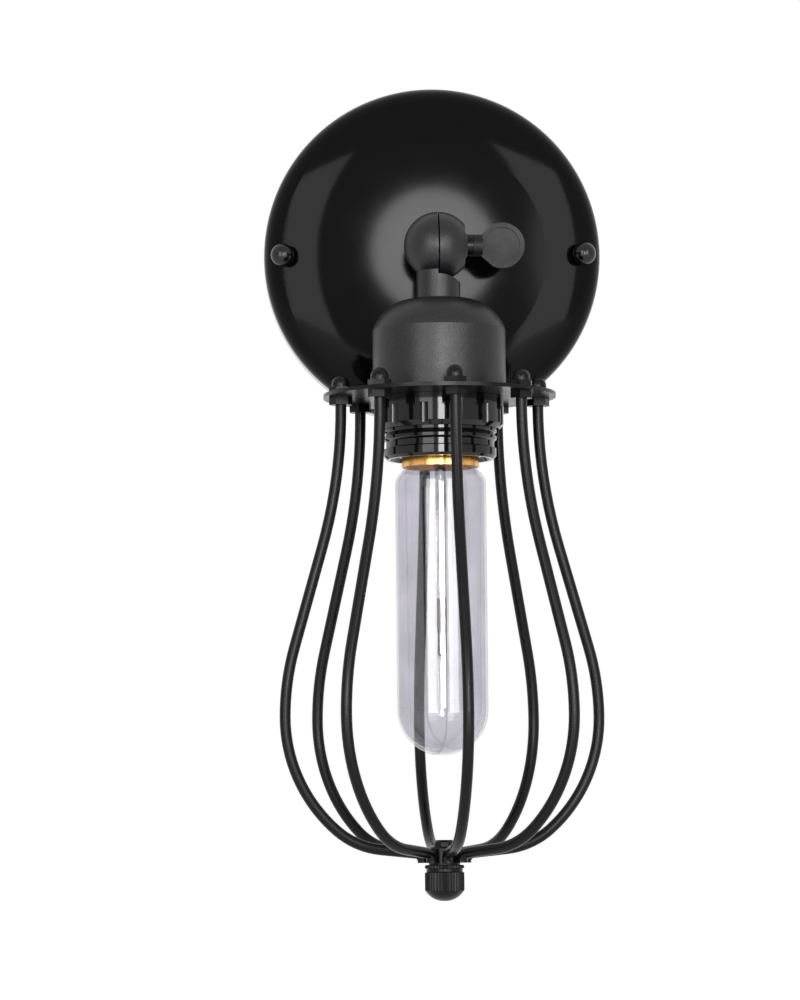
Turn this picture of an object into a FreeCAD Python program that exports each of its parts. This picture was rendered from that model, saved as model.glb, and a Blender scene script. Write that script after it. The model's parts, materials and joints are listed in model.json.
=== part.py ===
import FreeCAD, Part
import math
import os
import re
import Sketcher

# Cage wall light: a domed wall plate carries a two-part knuckle joint, and the knuckle carries
# a lamp socket with a wire cage round a tubular bulb. Millimetres and degrees throughout.
#
# The whole light stands in one frame: +Z up, the wall is the plane y = 0, the light faces -Y,
# and the origin is the centre of the wall plate on the wall.
# Pieces are drawn in local frames, in which local z runs
#   wall   away from the wall, along the plate's axis (local y is up)
#   head   down the lamp head's axis, from the knuckle's centre (local y is the front)
#   right  from the knuckle's centre along +X, down the clamp screw
#   left   from the knuckle's centre along -X

V = FreeCAD.Vector
DOC = FreeCAD.newDocument("cage_wall_light")

# ------------------------------------------------------------------ driving dimensions

SIZES = {
    # overall placing
    "ball_out": 65.0,           # knuckle centre from the wall
    "rest_tilt": 3.8,           # lamp head's lean away from the wall at rest
    "seat_gap": 0.1,            # clearance where one piece seats in another
    "run_gap": 0.3,             # clearance between pieces that move past each other
    # wall plate
    "plate_rad": 60.0,
    "plate_depth": 30.0,        # height of the crown above the wall
    "plate_wall": 1.2,
    "crown_arc": 400.0,         # large arc of the crown
    "crown_end": 40.0,          # radius where the crown meets the shoulder
    "shoulder_arc": 60.0,
    "shoulder_end": 54.0,       # radius where the shoulder meets the rim's corner
    # bracket behind the plate
    "strap_half": 58.0,
    "strap_wide": 18.0,
    "strap_thick": 2.5,
    "strap_disc": 30.0,         # radius of the round middle
    "cable_hole": 6.0,
    "slot_pitch": 60.0,         # between the two wall-screw slots
    "slot_half_wide": 2.5,
    "slot_long": 12.0,
    "stud_pitch": 107.0,        # between the two plate studs
    "stud_rad": 2.0,
    "stud_head_rad": 3.0,
    "stud_head": 1.0,
    "ball_nut_rad": 4.1,
    "small_nut_flats": 7.0,     # across the flats of an M4 nut
    "small_nut": 3.2,
    "earth_up": 17.0,           # earth screw above the middle of the bracket
    "earth_hole": 1.7,
    # terminal block
    "block_wide": 30.0,
    "block_deep": 13.0,
    "block_tall": 11.0,
    "block_down": 18.5,         # block centre below the middle of the bracket
    "way_pitch": 9.0,
    "way_rad": 2.5,
    "way_bore": 1.5,
    "way_screw": 1.2,
    # threaded tubes, M10 x 1
    "tube_rad": 4.95,
    "tube_bore": 3.5,
    "tube_seat": 5.05,
    "tube_inset": 13.3,         # from the knuckle's centre to the near end of each tube
    "plate_tube_end": 19.0,     # inner end of the plate's tube, from the wall
    "lock_nut_flats": 14.0,
    "lock_nut": 3.5,
    "lock_washer_rad": 8.5,
    "lock_washer": 0.8,
    # knuckle
    "ball_rad": 11.75,
    "seam_half": 0.25,
    "cavity_rad": 8.4,
    "cavity_end": 5.7,          # depth of the right half's cavity
    "neck_rad": 7.55,
    "neck_root": 8.6,
    "turn_clear": 13.0,         # radius cleared for the other half's ball
    "cable_way": 3.5,
    "cable_way_root": 5.0,
    "flat_out": 9.2,            # flat under the clamp screw, from the seam
    "boss_out": 10.1,
    "boss_wide": 4.6,
    "boss_narrow": 3.9,
    "pass_hole": 2.7,
    "post_rad": 4.4,
    # clamp screw
    "screw_rad": 2.45,
    "screw_tip": 8.3,           # how far the screw reaches into the left half
    "tap_hole": 2.5,
    "tap_end": 8.6,
    "washer_rad": 3.85,
    "washer_end": 12.0,
    "collar_rad": 3.85,
    "collar_start": 12.15,
    "collar_end": 15.3,
    "paddle_out": 22.0,
    "paddle_rad": 7.9,
    "paddle_thick": 3.6,
    "dish_rad": 6.3,
    "dish_deep": 0.8,
    "shoulder_half": 3.6,
    # socket cup
    "cup_top": 18.7,
    "cup_rad": 22.9,
    "cup_flat": 8.5,
    "cup_dome": 15.0,
    "cup_wall": 1.2,
    "cup_end": 51.6,
    # lampholder
    "holder_rad": 20.9,
    "holder_bore": 17.6,
    "holder_boss": 8.5,
    "holder_top": 24.5,
    "holder_shoulder": 27.0,
    "holder_full": 33.0,
    "holder_floor": 31.6,
    "holder_seat": 36.4,
    "block_rad": 17.2,
    "insert_end": 43.8,
    "skirt_neck": 17.3,
    "skirt_rad": 19.45,
    "skirt_root": 18.6,
    "skirt_bore": 15.2,
    "thread_pitch": 2.5,
    "thread_start": 53.2,
    "band_start": 70.2,
    "band_rad": 19.3,
    "mouth_start": 73.2,
    "mouth_end": 74.2,
    "mouth_rad": 18.4,
    "mouth_bore": 17.2,
    "shell_bore": 13.55,
    "shell_wall": 0.5,
    "shell_end": 73.2,
    "shell_hole": 9.5,
    "tongue_wide": 4.5,
    "tongue_thick": 0.5,
    "post_off": 9.5,
    "post_side": 4.6,
    "post_low": 31.9,
    "post_screw": 1.3,
    # shade ring
    "shade_bore": 19.6,
    "shade_rad": 21.95,
    "shade_flange": 3.4,
    "shade_long": 11.0,
    "shade_tip": 20.4,
    "flute_rad": 1.7,
    "flute_centre": 22.75,
    "flute_count": 12,
    "flute_first": 13.3,        # first flute's angle from the front, towards +X
    # cage
    "ring_rad": 40.0,
    "ring_bore": 19.7,
    "ring_thick": 1.3,
    "wire_circle": 34.3,
    "wire_rad": 1.9,
    "wire_hole": 2.0,
    "wire_count": 8,
    "wire_first": 6.4,          # first wire's angle from the front, towards +X
    "wire_top": 46.8,
    "wire_bend": 56.0,
    "flare_arc": 175.0,
    "flare_angle": 16.0,
    "flank_arc": 87.0,
    "cage_rad": 54.3,           # wire centre line at the cage's widest
    "bowl_arc": 51.0,
    "bowl_angle": 49.0,
    "base_arc": 27.0,
    "base_angle": 35.0,
    "tail_arc": 2.9,
    "tail_long": 0.5,
    "cap_nut_hex": 2.2,
    "cap_nut_dome": 3.05,
    "cap_nut_tall": 6.3,
    "low_nut": 2.6,
    "hub_rad": 5.4,
    "hub_tall": 5.6,
    "hub_bore": 2.1,
    "pin_rad": 2.0,
    "pin_head_rad": 3.6,
    "pin_head": 2.4,
    "pin_reach": 6.6,
    "finial_rad": 6.75,
    "finial_waist": 6.2,
    "finial_neck": 0.5,
    "bead_tall": 1.4,
    "waist_tall": 0.9,
    "knurl_tall": 6.2,
    "knurl_dome": 3.8,
    "knurl_count": 38,
    "knurl_cut": 0.3,
    # bulb
    "bulb_rad": 15.65,
    "bulb_tip_level": 50.1,
    "tip_tall": 1.2,
    "insulator_tall": 3.7,
    "insulator_rad": 9.6,
    "bulb_cap_rad": 13.1,
    "bulb_cap_root": 12.3,
    "bulb_cap_bore": 11.9,
    "bulb_thread": 3.6,
    "bulb_cap_end": 76.9,
    "bulb_rim": 13.35,
    "glass_wall": 0.8,
    "glass_neck": 11.6,
    "glass_start": 66.0,
    "glass_out": 77.0,
    "glass_full": 83.0,
    "glass_shoulder": 6.0,
    "glass_turn": 160.0,
    "stem_rad": 4.0,
    "press_rad": 1.9,
    "press_end": 91.5,
    "bead_start": 122.0,
    "bead_end": 132.6,
    "bead_rad": 1.7,
    "inner_wire": 0.3,
    "inner_wire_off": 1.2,
    "filament_end": 141.5,
    # leads
    "lead_rad": 1.05,
    "lead_off": 1.5,            # leads' distance from the knuckle's seam
    "lead_apart": 1.15,         # each lead's distance from the necks' middle plane
    "lead_stop": 6.5,           # the leads end this far from the knuckle's centre
    "lead_level": 34.2,
}

SHEET = DOC.addObject("Spreadsheet::Sheet", "Sizes")
for row, (alias, value) in enumerate(SIZES.items(), start=1):
    SHEET.set("A%d" % row, alias)
    SHEET.set("B%d" % row, str(value))
    SHEET.setAlias("B%d" % row, alias)
DOC.recompute()

# Lengths that several pieces share, worked out from the sheet.
CUP_DOME_END = "(cup_top + cup_dome - sqrt(cup_dome^2 - (cup_rad - cup_flat)^2))"
CUP_DOME_IN = ("(cup_top + cup_dome - sqrt((cup_dome - cup_wall)^2"
               " - (cup_rad - cup_wall - cup_flat)^2))")
SHOULDER_SINE = "(crown_end / crown_arc)"
SHOULDER_X = "((crown_arc - shoulder_arc) * %s)" % SHOULDER_SINE
SHOULDER_Z = "(plate_depth - crown_arc + (crown_arc - shoulder_arc) * sqrt(1 - %s^2))" % SHOULDER_SINE
BALL_NUT_OUT = ("(%s + sqrt((shoulder_arc + ball_nut_rad + 0.05)^2 - (stud_pitch / 2 - %s)^2))"
                % (SHOULDER_Z, SHOULDER_X))
FLARE_SHIFT = "((flare_arc + flank_arc) * (1 - cos(flare_angle)))"
FLANK_RUN = "((cage_rad - wire_circle - %s) / sin(flare_angle))" % FLARE_SHIFT
CAGE_LEVEL = "(wire_bend + (flare_arc + flank_arc) * sin(flare_angle) + %s * cos(flare_angle))" % FLANK_RUN
BOTTOM_ANGLE = "(bowl_angle + base_angle)"
BASE_RAD = ("(cage_rad - bowl_arc * (1 - cos(bowl_angle))"
            " - base_arc * (cos(bowl_angle) - cos(%s)))" % BOTTOM_ANGLE)
BASE_LEVEL = ("(%s + bowl_arc * sin(bowl_angle) + base_arc * (sin(%s) - sin(bowl_angle)))"
              % (CAGE_LEVEL, BOTTOM_ANGLE))
TAIL_RAD = "(hub_rad + seat_gap / 2 + wire_rad)"
TAIL_SHIFT = "(tail_arc * cos(%s))" % BOTTOM_ANGLE
BASE_RUN = "((%s - %s - tail_arc + %s) / sin(%s))" % (BASE_RAD, TAIL_RAD, TAIL_SHIFT, BOTTOM_ANGLE)
TAIL_LEVEL = "(%s + %s * cos(%s))" % (BASE_LEVEL, BASE_RUN, BOTTOM_ANGLE)
TAIL_END = "(%s + tail_arc * sin(%s) + tail_long)" % (TAIL_LEVEL, BOTTOM_ANGLE)
HUB_END = "(%s + 0.2)" % TAIL_END
HUB_TOP = "(%s - hub_tall)" % HUB_END
RING_END = "(cup_end + ring_thick)"


def bind(text):
    """An expression on the sheet's cells, from plain alias names."""
    return re.sub(r"[a-z_]+", lambda m: "Sizes." + m.group() if m.group() in SIZES else m.group(),
            str(text))


def value(text):
    return float(SHEET.evalExpression(bind(text)))


# ------------------------------------------------------------------ frames

def frame_axis(frame):
    return V(0, 1, 0) if frame in ("right", "left") else V(1, 0, 0)


def place(obj, frame):
    """Sets an object into its local frame, bound to the sheet."""
    turns = {"wall": "90", "head": "180 - rest_tilt", "right": "90", "left": "-90"}
    obj.Placement = FreeCAD.Placement(V(0, 0, 0), FreeCAD.Rotation(frame_axis(frame), value(turns[frame])))
    obj.setExpression("Placement.Rotation.Angle", bind(turns[frame]))
    if frame != "wall":
        obj.setExpression("Placement.Base.y", bind("-ball_out"))
    return obj


def frame_placement(frame):
    """The same placing as a value, for groups of copies."""
    angle = {"wall": 90.0, "head": 180.0 - value("rest_tilt"), "right": 90.0, "left": -90.0}[frame]
    base = V(0, 0, 0) if frame == "wall" else V(0, -value("ball_out"), 0)
    return FreeCAD.Placement(base, FreeCAD.Rotation(frame_axis(frame), angle))


def about_axis(angle):
    """A turn about local z, measured from the front (local +y) towards +X."""
    return FreeCAD.Placement(V(0, 0, 0), FreeCAD.Rotation(V(0, 0, 1), 90.0 - angle))


# ------------------------------------------------------------------ PartDesign helpers

def new_body(name, frame):
    body = DOC.addObject("PartDesign::Body", name)
    body.Label = name
    return place(body, frame)


def new_sketch(body, plane, lift=None):
    """A sketch on one of the body's own origin planes."""
    sketch = body.newObject("Sketcher::SketchObject", body.Name + "_sketch")
    origin = [f for f in body.Origin.OriginFeatures if f.Role == plane][0]
    sketch.AttachmentSupport = [(origin, "")]
    sketch.MapMode = "FlatFace"
    if lift is not None:
        sketch.setExpression("AttachmentOffset.Base.z", bind(lift))
    return sketch


def hold(sketch, kind, geo, pos, text):
    """Fixes one coordinate of a sketch point to an expression."""
    if str(text) == "0":
        axis = -2 if kind == "DistanceX" else -1
        sketch.addConstraint(Sketcher.Constraint("PointOnObject", geo, pos, axis))
        return
    index = sketch.addConstraint(Sketcher.Constraint(kind, -1, 1, geo, pos, value(text)))
    sketch.setExpression("Constraints[%d]" % index, bind(text))


def arc_between(start, end, radius):
    """An arc from start to end; a positive radius bulges to the right of the run."""
    chord = end - start
    half = chord.Length / 2
    side = V(chord.y, -chord.x, 0).normalize()
    rise = math.sqrt(max(radius ** 2 - half ** 2, 0.0))
    sign = 1 if radius > 0 else -1
    centre = start + chord * 0.5 - side * sign * rise
    angles = [math.atan2(p.y - centre.y, p.x - centre.x) for p in (start, end)]
    if sign < 0:
        angles.reverse()
    if angles[1] < angles[0]:
        angles[1] += 2 * math.pi
    arc = Part.ArcOfCircle(Part.Circle(centre, V(0, 0, 1), abs(radius)), angles[0], angles[1])
    return arc, (1, 2) if sign > 0 else (2, 1)


def outline(sketch, points):
    """A closed outline. Each point is (x, y) or (x, y, radius of the arc to the next point)."""
    spots = [V(value(p[0]), value(p[1]), 0) for p in points]
    edges = []
    for i, point in enumerate(points):
        start, end = spots[i], spots[(i + 1) % len(spots)]
        if len(point) > 2:
            arc, ends = arc_between(start, end, value(point[2]))
            edges.append((sketch.addGeometry(arc, False), ends))
        else:
            edges.append((sketch.addGeometry(Part.LineSegment(start, end), False), (1, 2)))
    for i, (geo, ends) in enumerate(edges):
        after, after_ends = edges[(i + 1) % len(edges)]
        sketch.addConstraint(Sketcher.Constraint("Coincident", geo, ends[1], after, after_ends[0]))
    for i, (geo, ends) in enumerate(edges):
        hold(sketch, "DistanceX", geo, ends[0], points[i][0])
        hold(sketch, "DistanceY", geo, ends[0], points[i][1])
        if len(points[i]) > 2:
            radius = "abs(%s)" % points[i][2]
            index = sketch.addConstraint(Sketcher.Constraint("Radius", geo, value(radius)))
            sketch.setExpression("Constraints[%d]" % index, bind(radius))
    return sketch


def rectangle(sketch, x0, y0, x1, y1):
    return outline(sketch, [(x0, y0), (x1, y0), (x1, y1), (x0, y1)])


def circles(sketch, spots):
    """Circles as (x, y, radius)."""
    for x, y, radius in spots:
        centre = V(value(x), value(y), 0)
        geo = sketch.addGeometry(Part.Circle(centre, V(0, 0, 1), value(radius)), False)
        index = sketch.addConstraint(Sketcher.Constraint("Radius", geo, value(radius)))
        sketch.setExpression("Constraints[%d]" % index, bind(radius))
        hold(sketch, "DistanceX", geo, 3, x)
        hold(sketch, "DistanceY", geo, 3, y)
    return sketch


def revolve(body, sketch):
    made = body.newObject("PartDesign::Revolution", body.Name + "_turned")
    made.Profile = sketch
    made.ReferenceAxis = (sketch, ["V_Axis"])
    made.Angle = 360
    return made


def turned(name, frame, points):
    """A body turned about local z, from an outline of (radius, level) points."""
    body = new_body(name, frame)
    revolve(body, outline(new_sketch(body, "XZ_Plane"), points))
    return body


def pad(body, sketch, length, midplane=False, backwards=False):
    made = body.newObject("PartDesign::Pad", body.Name + "_pad")
    made.Profile = sketch
    made.setExpression("Length", bind(length))
    made.Midplane = midplane
    made.Reversed = backwards
    return made


def pocket(body, sketch, length, upwards=False):
    """A pocket below the sketch plane, or above it; it has to take material away."""
    DOC.recompute()
    before = body.Shape.Volume
    made = body.newObject("PartDesign::Pocket", body.Name + "_pocket")
    made.Profile = sketch
    made.setExpression("Length", bind(length))
    made.Reversed = upwards
    DOC.recompute()
    if not body.Shape.Volume < before:
        raise ValueError(body.Label + ": a pocket cuts nothing")
    return made


def around(body, made, count):
    """Repeats a feature around the body's own z axis."""
    pattern = body.newObject("PartDesign::PolarPattern", body.Name + "_pattern")
    pattern.Originals = [made]
    axis = [f for f in body.Origin.OriginFeatures if f.Role == "Z_Axis"][0]
    pattern.Axis = (axis, [""])
    pattern.Angle = 360
    pattern.setExpression("Occurrences", bind(count))
    body.Tip = pattern
    return pattern


# ------------------------------------------------------------------ Part helpers

def cylinder(name, frame, radius, start, length):
    """A plain cylinder along local z, placed by its start level."""
    solid = DOC.addObject("Part::Cylinder", name)
    solid.setExpression("Radius", bind(radius))
    solid.setExpression("Height", bind(length))
    shift_along(solid, frame, start)
    return solid


def hexagon(name, frame, flats, start, length):
    solid = DOC.addObject("Part::Prism", name)
    solid.Polygon = 6
    solid.setExpression("Circumradius", bind("(%s) / 2 / cos(30)" % flats))
    solid.setExpression("Height", bind(length))
    shift_along(solid, frame, start)
    return solid


def shift_along(solid, frame, start):
    """Places a primitive in a frame with its base at a level on local z."""
    place(solid, frame)
    angle = {"wall": "90", "head": "(180 - rest_tilt)"}.get(frame)
    if angle is not None:
        base = "0" if frame == "wall" else "ball_out"
        solid.setExpression("Placement.Base.y", bind("-%s - (%s) * sin(%s)" % (base, start, angle)))
        solid.setExpression("Placement.Base.z", bind("(%s) * cos(%s)" % (start, angle)))
    else:
        sign = "" if frame == "right" else "-"
        solid.setExpression("Placement.Base.x", bind("%s(%s)" % (sign, start)))


def fused(name, solids):
    result = DOC.addObject("Part::MultiFuse", name)
    result.Shapes = solids
    result.Refine = False
    result.Label = name
    return result


def cut(name, base, tool):
    result = DOC.addObject("Part::Cut", name)
    result.Base = base
    result.Tool = tool
    result.Refine = False       # merging the faces spoils the knuckle's solids
    result.Label = name
    return result


def feature(name, shape):
    """A sub-part whose shape is made with Part's own functions."""
    result = DOC.addObject("Part::Feature", name)
    result.Shape = shape
    result.Label = name
    return result


def copies(name, master, frame, moves):
    """A group of separate, equal solids: the master moved within its frame."""
    DOC.recompute()
    home = frame_placement(frame)
    solids = []
    for move in moves:
        shape = master.Shape.copy()
        shape.Placement = home.multiply(move).multiply(home.inverse()).multiply(shape.Placement)
        solids.append(shape)
    return feature(name, Part.makeCompound(solids))


def shifted(x, y, z=0.0):
    return FreeCAD.Placement(V(x, y, z), FreeCAD.Rotation())


def rounded(points, bend):
    """Straight edges through the points, with a tangent arc at each corner."""
    edges = []
    last = V(*points[0])
    for i in range(1, len(points) - 1):
        corner = V(*points[i])
        back = (V(*points[i - 1]) - corner).normalize()
        onward = (V(*points[i + 1]) - corner).normalize()
        half = back.getAngle(onward) / 2
        reach = bend / math.tan(half)
        start, end = corner + back * reach, corner + onward * reach
        middle = corner + (back + onward).normalize() * (bend / math.sin(half) - bend)
        edges.append(Part.LineSegment(last, start).toShape())
        edges.append(Part.Arc(start, middle, end).toShape())
        last = end
    edges.append(Part.LineSegment(last, V(*points[-1])).toShape())
    return edges


def swept(name, frame, edges, radius):
    """A round wire along edges that join as tangents."""
    path = Part.Wire(edges)
    first = edges[0]
    start = first.valueAt(first.FirstParameter)
    heading = first.tangentAt(first.FirstParameter)
    ring = Part.Wire([Part.makeCircle(radius, start, heading)])
    result = feature(name, path.makePipeShell([ring], True, False))
    result.Placement = frame_placement(frame)
    return result


KEPT = []


def keep(*objects):
    KEPT.extend(objects)


# ------------------------------------------------------------------ wall side

def wall_bracket():
    """Steel strap with a round middle, wall-screw slots and a cable hole."""
    body = new_body("wall_bracket", "wall")
    half, wide = "(strap_half - strap_wide / 2)", "(strap_wide / 2)"
    pad(body, rectangle(new_sketch(body, "XY_Plane"), "-" + half, "-" + wide, half, wide), "strap_thick")
    rounds = [("0", "0", "strap_disc"), (half, "0", wide), ("-" + half, "0", wide)]
    pad(body, circles(new_sketch(body, "XY_Plane"), rounds), "strap_thick")
    stud = "(stud_pitch / 2)"
    near = "(slot_pitch / 2 - slot_long / 2 + slot_half_wide)"
    far = "(slot_pitch / 2 + slot_long / 2 - slot_half_wide)"
    holes = [("0", "0", "cable_hole"), ("0", "earth_up", "earth_hole")]
    holes += [(side + stud, "0", "(stud_rad + seat_gap / 2)") for side in ("", "-")]
    holes += [(side + end, "0", "slot_half_wide") for side in ("", "-") for end in (near, far)]
    pocket(body, circles(new_sketch(body, "XY_Plane"), holes), "strap_thick", True)
    middles = new_sketch(body, "XY_Plane")
    for side in ("", "-"):
        rectangle(middles, side + near, "-slot_half_wide", side + far, "slot_half_wide")
    pocket(body, middles, "strap_thick", True)
    recess = [(side + stud, "0", "(stud_head_rad + seat_gap / 2)") for side in ("", "-")]
    pocket(body, circles(new_sketch(body, "XY_Plane"), recess), "stud_head + seat_gap", True)
    keep(body)


def bracket_studs():
    """Two headed studs that the plate hangs on, their lock nuts and the ball nuts outside."""
    stud_end = BALL_NUT_OUT + " + 1.5"
    stud = turned("stud", "wall", [
        ("0", "0.05"), ("stud_head_rad", "0.05"), ("stud_head_rad", "stud_head + 0.05"),
        ("stud_rad", "stud_head + 0.05"), ("stud_rad", stud_end), ("0", stud_end)])
    nut = cut("stud_nut", hexagon("stud_nut_hex", "wall", "small_nut_flats", "strap_thick", "small_nut"),
              cylinder("stud_nut_bore", "wall", "stud_rad + seat_gap / 2", "strap_thick - 1",
              "small_nut + 2"))
    bore, rad = "(stud_rad + seat_gap / 2)", "ball_nut_rad"
    low = "(%s - sqrt(%s^2 - %s^2))" % (BALL_NUT_OUT, rad, bore)
    ball = turned("ball_nut", "wall", [
        (bore, low, rad), ("0", "%s + %s" % (BALL_NUT_OUT, rad)),
        ("0", stud_end + " + 0.3"), (bore, stud_end + " + 0.3")])
    half = value("stud_pitch") / 2
    pair = [shifted(half, 0), shifted(-half, 0)]
    keep(copies("bracket_studs", stud, "wall", pair))
    keep(copies("bracket_stud_nuts", nut, "wall", pair))
    keep(copies("ball_nuts", ball, "wall", pair))


def backplate():
    """Spun dome: crown, shoulder and rim corner are tangent arcs, inside and outside."""
    body = new_body("backplate", "wall")
    sketch = new_sketch(body, "XZ_Plane")
    wall = value("plate_wall")
    hole = value("tube_seat")
    crown, shoulder = value("crown_arc"), value("shoulder_arc")
    first = V(0, value("plate_depth") - crown, 0)
    second = V(value(SHOULDER_X), value(SHOULDER_Z), 0)
    turn_one = math.asin(value("crown_end") / crown)
    turn_two = math.asin((value("shoulder_end") - second.x) / shoulder)
    rim = value("plate_rad")
    corner = (rim - second.x - shoulder * math.sin(turn_two)) / (1 - math.sin(turn_two))
    third = second + V(math.sin(turn_two), math.cos(turn_two), 0) * (shoulder - corner)

    def skin(inset):
        """The three arcs of one skin, from the axis to the rim."""
        start = math.acos(hole / (crown - inset))
        arcs = [(first, crown - inset, math.pi / 2 - turn_one, start),
                (second, shoulder - inset, math.pi / 2 - turn_two, math.pi / 2 - turn_one),
                (third, corner - inset, 0.0, math.pi / 2 - turn_two)]
        return [sketch.addGeometry(Part.ArcOfCircle(Part.Circle(c, V(0, 0, 1), r), a, b), False)
                for c, r, a, b in arcs]

    outer = skin(0.0)
    inner = skin(wall)
    line = [Part.LineSegment(V(rim, third.y, 0), V(rim, 0, 0)), Part.LineSegment(V(rim, 0, 0),
            V(rim - wall, 0, 0)),
            Part.LineSegment(V(rim - wall, 0, 0), V(rim - wall, third.y, 0))]
    side, foot, back = [sketch.addGeometry(g, False) for g in line]
    top_in = V(hole, first.y + math.sqrt((crown - wall) ** 2 - hole ** 2), 0)
    top_out = V(hole, first.y + math.sqrt(crown ** 2 - hole ** 2), 0)
    lip = sketch.addGeometry(Part.LineSegment(top_in, top_out), False)
    tie = Sketcher.Constraint
    for skin_arcs, wall_line, wall_end in ((outer, side, 1), (inner, back, 2)):
        sketch.addConstraint(tie("Tangent", skin_arcs[0], 1, skin_arcs[1], 2))
        sketch.addConstraint(tie("Tangent", skin_arcs[1], 1, skin_arcs[2], 2))
        sketch.addConstraint(tie("Tangent", skin_arcs[2], 1, wall_line, wall_end))
    for a, b in zip(outer, inner):
        sketch.addConstraint(tie("Coincident", a, 3, b, 3))
    sketch.addConstraint(tie("Coincident", side, 2, foot, 1))
    sketch.addConstraint(tie("Coincident", foot, 2, back, 1))
    sketch.addConstraint(tie("Coincident", lip, 1, inner[0], 2))
    sketch.addConstraint(tie("Coincident", lip, 2, outer[0], 2))
    sketch.addConstraint(tie("Vertical", side))
    sketch.addConstraint(tie("Horizontal", foot))
    sketch.addConstraint(tie("Vertical", back))
    sketch.addConstraint(tie("Vertical", lip))
    hold(sketch, "DistanceX", outer[0], 3, "0")
    hold(sketch, "DistanceY", outer[0], 3, "plate_depth - crown_arc")
    hold(sketch, "DistanceX", outer[0], 1, "crown_end")
    hold(sketch, "DistanceX", outer[1], 1, "shoulder_end")
    hold(sketch, "DistanceX", side, 2, "plate_rad")
    hold(sketch, "DistanceY", side, 2, "0")
    hold(sketch, "DistanceX", lip, 2, "tube_seat")
    for geo, text in ((outer[0], "crown_arc"), (outer[1], "shoulder_arc"),
            (inner[0], "crown_arc - plate_wall")):
        index = sketch.addConstraint(tie("Radius", geo, value(text)))
        sketch.setExpression("Constraints[%d]" % index, bind(text))
    revolve(body, sketch)
    stud = "(stud_pitch / 2)"
    holes = [(stud, "0", "stud_rad + 0.2"), ("-" + stud, "0", "stud_rad + 0.2")]
    pocket(body, circles(new_sketch(body, "XY_Plane"), holes), "plate_depth + 5", True)
    keep(body)


def plate_tube():
    """Hollow threaded tube through the plate's middle, with its washer and lock nut."""
    end = "(ball_out - tube_inset)"
    keep(turned("plate_tube", "wall", [
        ("tube_bore", "plate_tube_end"), ("tube_rad", "plate_tube_end"), ("tube_rad", end),
        ("tube_bore", end)]))
    under = "(plate_depth - plate_wall - 2 * seat_gap)"
    keep(turned("plate_lock_washer", "wall", [
        ("tube_seat", under + " - lock_washer"), ("lock_washer_rad", under + " - lock_washer"),
        ("lock_washer_rad", under), ("tube_seat", under)]))
    nut_low = "(%s - lock_washer - lock_nut)" % under
    keep(cut("plate_lock_nut", hexagon("plate_nut_hex", "wall", "lock_nut_flats", nut_low, "lock_nut"),
             cylinder("plate_nut_bore", "wall", "tube_seat", nut_low + " - 1", "lock_nut + 2")))


def terminal_block():
    """Three-way connector block on the bracket, with brass ways and clamp screws."""
    middle = "(strap_thick + block_tall / 2)"
    body = new_body("terminal_block", "wall")
    base = rectangle(new_sketch(body, "XY_Plane", "strap_thick"), "-block_wide / 2",
            "-block_down - block_deep / 2",
                     "block_wide / 2", "-block_down + block_deep / 2")
    pad(body, base, "block_tall")
    ways = ["-way_pitch", "0", "way_pitch"]
    # the ways run along local y; the XZ plane's normal points to -y
    bores = circles(new_sketch(body, "XZ_Plane", "block_down + block_deep / 2"),
                    [(x, middle, "(way_rad + seat_gap / 2)") for x in ways])
    pocket(body, bores, "block_deep")
    rows = ["-block_down - block_deep / 4", "-block_down + block_deep / 4"]
    tops = circles(new_sketch(body, "XY_Plane", "strap_thick + block_tall"),
                   [(x, y, "(way_screw + seat_gap)") for x in ways for y in rows])
    pocket(body, tops, "block_tall / 2 - way_rad / 2")
    keep(body)

    way = new_body("way", "wall")
    pad(way, circles(new_sketch(way, "XZ_Plane", "block_down + block_deep / 2 - 0.5"),
                     [("0", middle, "way_rad")]), "block_deep - 1", backwards=True)
    pocket(way, circles(new_sketch(way, "XZ_Plane", "block_down + block_deep / 2 - 0.5"),
                        [("0", middle, "way_bore")]), "block_deep - 1")
    pitch = value("way_pitch")
    across = [shifted(n * pitch, 0) for n in (-1, 0, 1)]
    keep(copies("terminal_ways", way, "wall", across))
    screw_low = "(%s + way_rad + seat_gap)" % middle
    screw = cylinder("way_screw_master", "wall", "way_screw", screw_low,
                     "strap_thick + block_tall - 0.8 - %s" % screw_low)
    down, quarter = -value("block_down"), value("block_deep") / 4
    spots = [shifted(n * pitch, down + side * quarter) for n in (-1, 0, 1) for side in (-1, 1)]
    keep(copies("terminal_screws", screw, "wall", spots))


def earth_screw():
    """Screw, washer and lead that bond the metalwork to earth."""
    screw = turned("earth_post", "wall", [
        ("0", "0.2"), ("earth_hole - 0.1", "0.2"), ("earth_hole - 0.1", "strap_thick + 1.2"),
        ("3.4", "strap_thick + 1.2"), ("3.4", "strap_thick + 3.2"), ("0", "strap_thick + 3.2")])
    keep(copies("earth_screw", screw, "wall", [shifted(0, value("earth_up"))]))
    washer = turned("earth_ring", "wall", [
        ("earth_hole + 0.1", "strap_thick"), ("3.8", "strap_thick"),
        ("3.8", "strap_thick + 1.1"), ("earth_hole + 0.1", "strap_thick + 1.1")])
    keep(copies("earth_washer", washer, "wall", [shifted(0, value("earth_up"))]))


# ------------------------------------------------------------------ knuckle

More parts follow.
